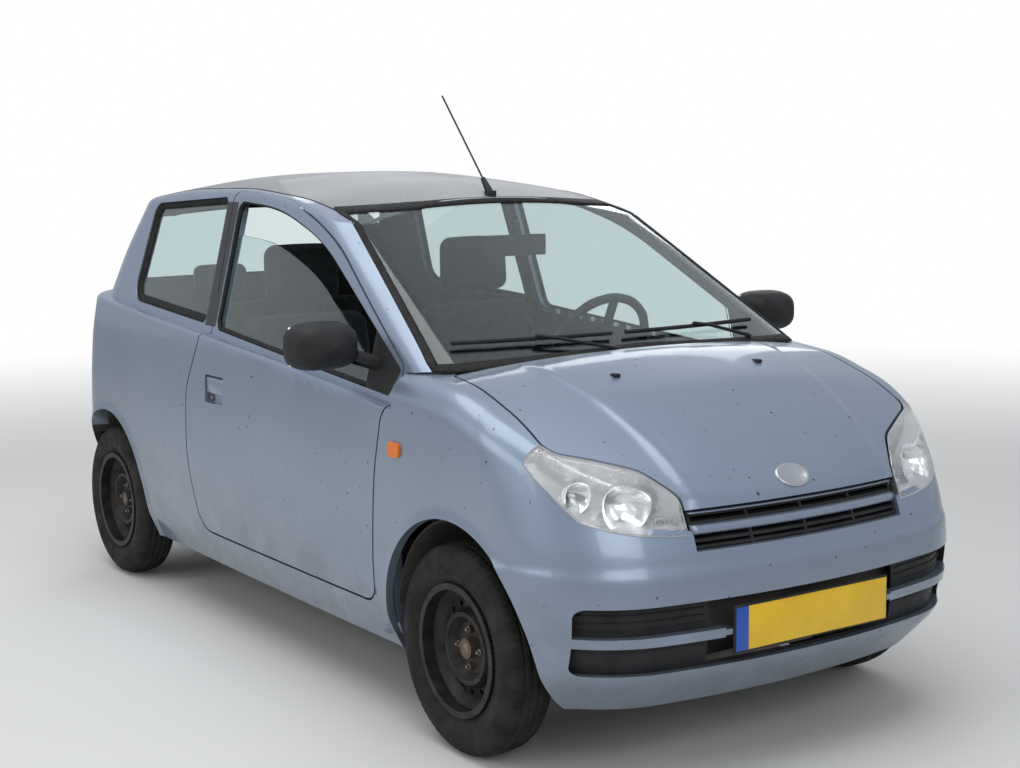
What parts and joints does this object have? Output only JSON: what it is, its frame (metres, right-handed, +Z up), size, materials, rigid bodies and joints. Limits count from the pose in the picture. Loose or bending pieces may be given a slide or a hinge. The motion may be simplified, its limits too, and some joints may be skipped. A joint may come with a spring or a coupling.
{
  "type": "three-door kei car",
  "caption": "Small three-door hatchback car with opening doors, bonnet and tailgate, steered front wheels and a furnished cabin.",
  "frame": {"origin": "on the ground, below the middle of the car's length and width", "axes": "+X forward, +Y to the car's left, +Z up"},
  "size_m": [3.4087, 1.824, 1.7441],
  "materials": {
    "paint": "metallic silver blue paint",
    "glass": "clear, slightly green",
    "trim": "black grained plastic",
    "lamp": "clear lens over a bright reflector",
    "red_lamp": "red lens",
    "amber": "amber lens",
    "plate": "blank yellow plate",
    "underbody": "dark underbody coat",
    "engine": "cast, dull",
    "radiator": "black fins",
    "exhaust": "dull with light rust",
    "tank": "black moulded",
    "knuckle": "cast, bare disc",
    "tyre": "worn road tyre",
    "rim": "black painted steel wheel, dusty",
    "seat": "dark woven cover"
  },
  "bodies": {
    "car": {"roof_panel": "paint", "side_frame_left": "paint", "side_frame_right": "paint", "front_bumper": "paint", "rear_bumper": "paint", "front_wing_left": "paint", "front_wing_right": "paint", "quarter_glass": "glass", "windscreen": "glass", "cowl_panel": "trim", "grilles": "trim", "antenna": "trim", "front_wipers": "trim", "dashboard": "trim", "interior_mirror": "trim", "headlamps": "lamp", "tail_lamps": "red_lamp", "side_repeaters": "amber", "front_plate": "plate", "floor_pan": "underbody", "firewall": "underbody", "front_frame": "underbody", "front_subframe": "underbody", "rear_axle": "underbody", "engine_block": "engine", "radiator": "radiator", "exhaust": "exhaust", "fuel_tank": "tank", "front_seats": "seat", "rear_seat": "seat"},
    "door_right_body": {"door_right": "paint", "door_glass_right": "glass", "mirror_right": "trim"},
    "door_left_body": {"door_left": "paint", "door_glass_left": "glass", "mirror_left": "trim"},
    "tailgate_body": {"tailgate": "paint", "tailgate_glass": "glass", "rear_wiper": "trim", "rear_plate": "plate"},
    "bonnet_body": {"bonnet": "paint"},
    "knuckle_right_body": {"knuckle_right": "knuckle"},
    "knuckle_left_body": {"knuckle_left": "knuckle"},
    "wheel_front_right": {"rim_front_right": "rim", "tyre_front_right": "tyre"},
    "wheel_front_left": {"rim_front_left": "rim", "tyre_front_left": "tyre"},
    "wheel_rear_right": {"rim_rear_right": "rim", "tyre_rear_right": "tyre"},
    "wheel_rear_left": {"rim_rear_left": "rim", "tyre_rear_left": "tyre"},
    "steering": {"steering_wheel": "trim"}
  },
  "joints": [
    {"name": "steer_right", "type": "hinge", "parent": "car", "child": "knuckle_right_body", "pos_m": [1.121, -0.604, 0.188], "axis": [0, 0.1453, 0.9894], "range_deg": [-35, 35]},
    {"name": "steer_left", "type": "hinge", "parent": "car", "child": "knuckle_left_body", "pos_m": [1.121, 0.604, 0.188], "axis": [0, -0.1453, 0.9894], "range_deg": [-35, 35]},
    {"name": "steering_wheel_turn", "type": "hinge", "parent": "car", "child": "steering", "pos_m": [0.345, 0.345, 0.925], "axis": [-0.8988, 0, 0.4384], "range_deg": [-612.5, 612.5]},
    {"name": "wheel_front_right_roll", "type": "hinge", "parent": "knuckle_right_body", "child": "wheel_front_right", "pos_m": [1.121, -0.645, 0.28], "axis": [0, 1, 0], "continuous": true},
    {"name": "wheel_front_left_roll", "type": "hinge", "parent": "knuckle_left_body", "child": "wheel_front_left", "pos_m": [1.121, 0.645, 0.28], "axis": [0, 1, 0], "continuous": true},
    {"name": "wheel_rear_right_roll", "type": "hinge", "parent": "car", "child": "wheel_rear_right", "pos_m": [-1.269, -0.64, 0.28], "axis": [0, 1, 0], "continuous": true},
    {"name": "wheel_rear_left_roll", "type": "hinge", "parent": "car", "child": "wheel_rear_left", "pos_m": [-1.269, 0.64, 0.28], "axis": [0, 1, 0], "continuous": true},
    {"name": "door_right_swing", "type": "hinge", "parent": "car", "child": "door_right_body", "pos_m": [0.843, -0.722, 0.6], "axis": [0, 0, 1], "range_deg": [0, 62]},
    {"name": "door_left_swing", "type": "hinge", "parent": "car", "child": "door_left_body", "pos_m": [0.843, 0.722, 0.6], "axis": [0, 0, -1], "range_deg": [0, 62]},
    {"name": "tailgate_lift", "type": "hinge", "parent": "car", "child": "tailgate_body", "pos_m": [-1.338, 0, 1.424], "axis": [0, 1, 0], "range_deg": [0, 78]},
    {"name": "bonnet_lift", "type": "hinge", "parent": "car", "child": "bonnet_body", "pos_m": [0.905, 0, 0.955], "axis": [0, -1, 0], "range_deg": [0, 50]}
  ],
  "couplings": [
    {"joint": "steer_left", "follows": "steer_right", "ratio": 1},
    {"joint": "steering_wheel_turn", "follows": "steer_right", "ratio": 17.5}
  ]
}
